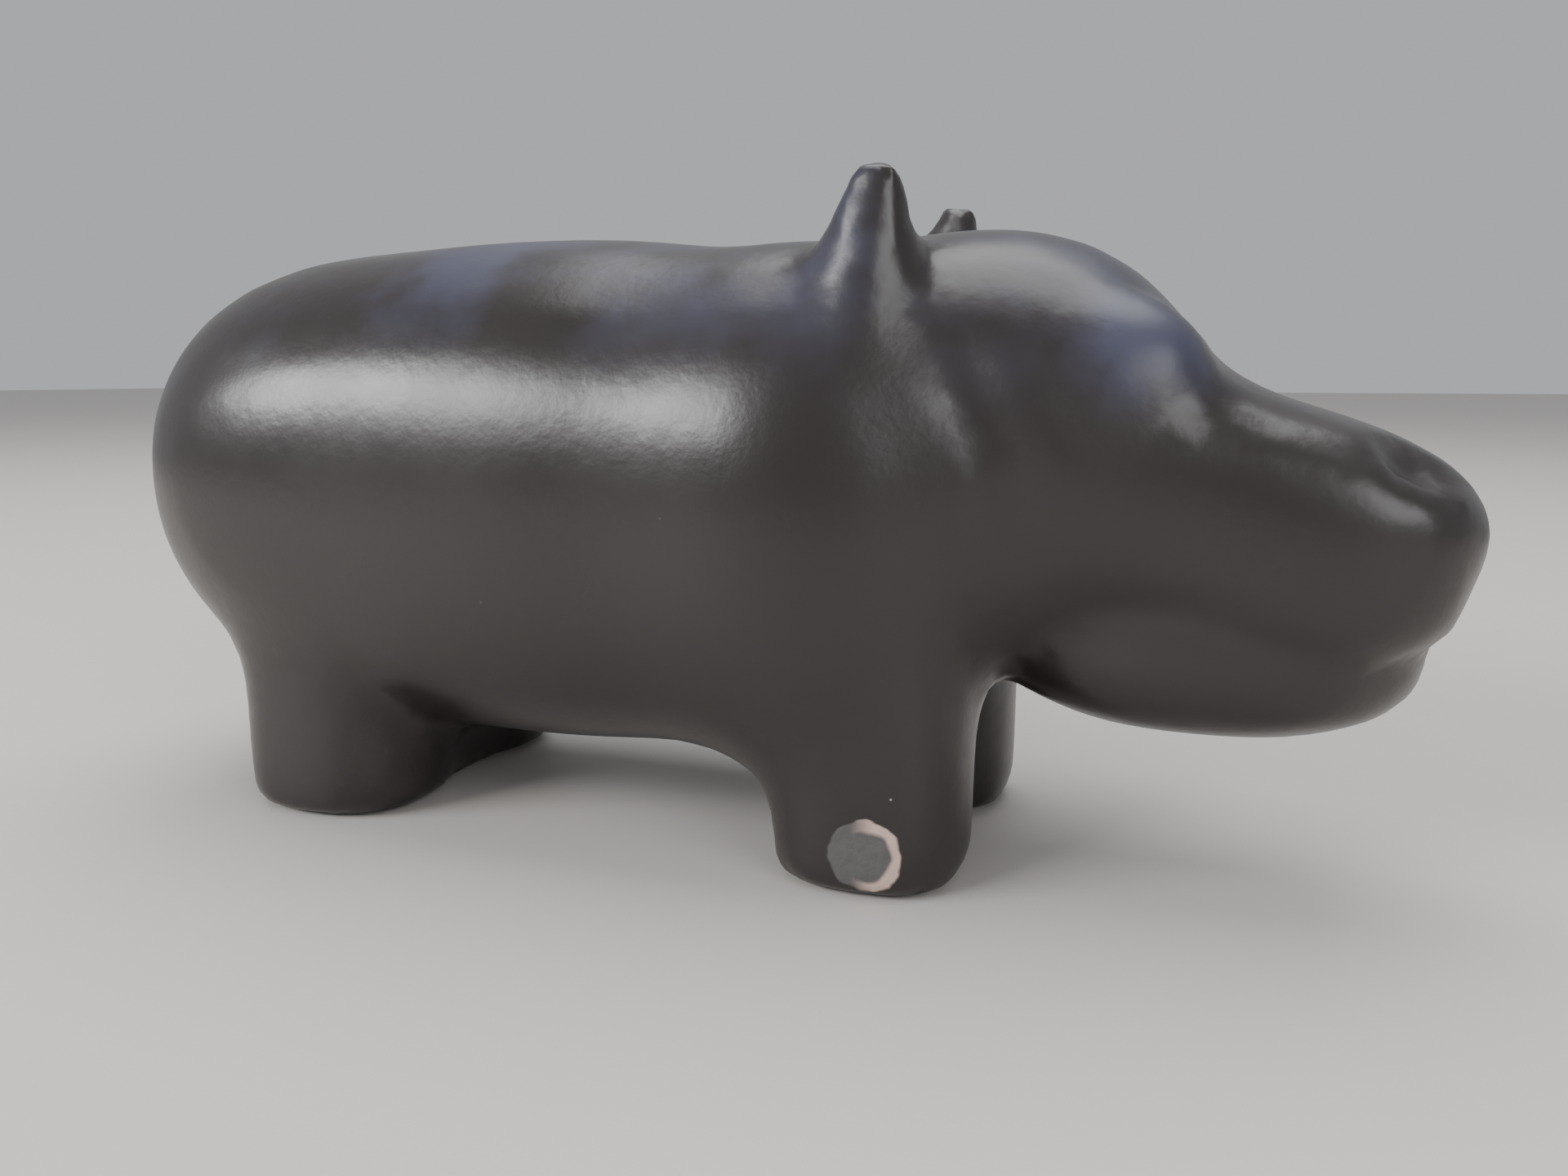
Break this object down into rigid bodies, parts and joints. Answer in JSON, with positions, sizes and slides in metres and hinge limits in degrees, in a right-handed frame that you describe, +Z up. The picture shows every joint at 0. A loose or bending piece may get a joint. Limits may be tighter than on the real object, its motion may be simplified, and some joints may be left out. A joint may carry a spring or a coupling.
{
  "type": "animal figurine",
  "caption": "Standing hippo figurine in dark satin glaze, with upright ears, a long muzzle and stout legs joined at the back.",
  "frame": {"origin": "centre of the bounding box at the floor, under the belly", "axes": "+X towards the nose, +Y towards the far flank, +Z up"},
  "size_m": [0.1328, 0.049, 0.0623],
  "materials": {
    "glaze": "satin, near-black warm brown glaze"
  },
  "bodies": {
    "root": {"hippo": "glaze"}
  },
  "joints": []
}
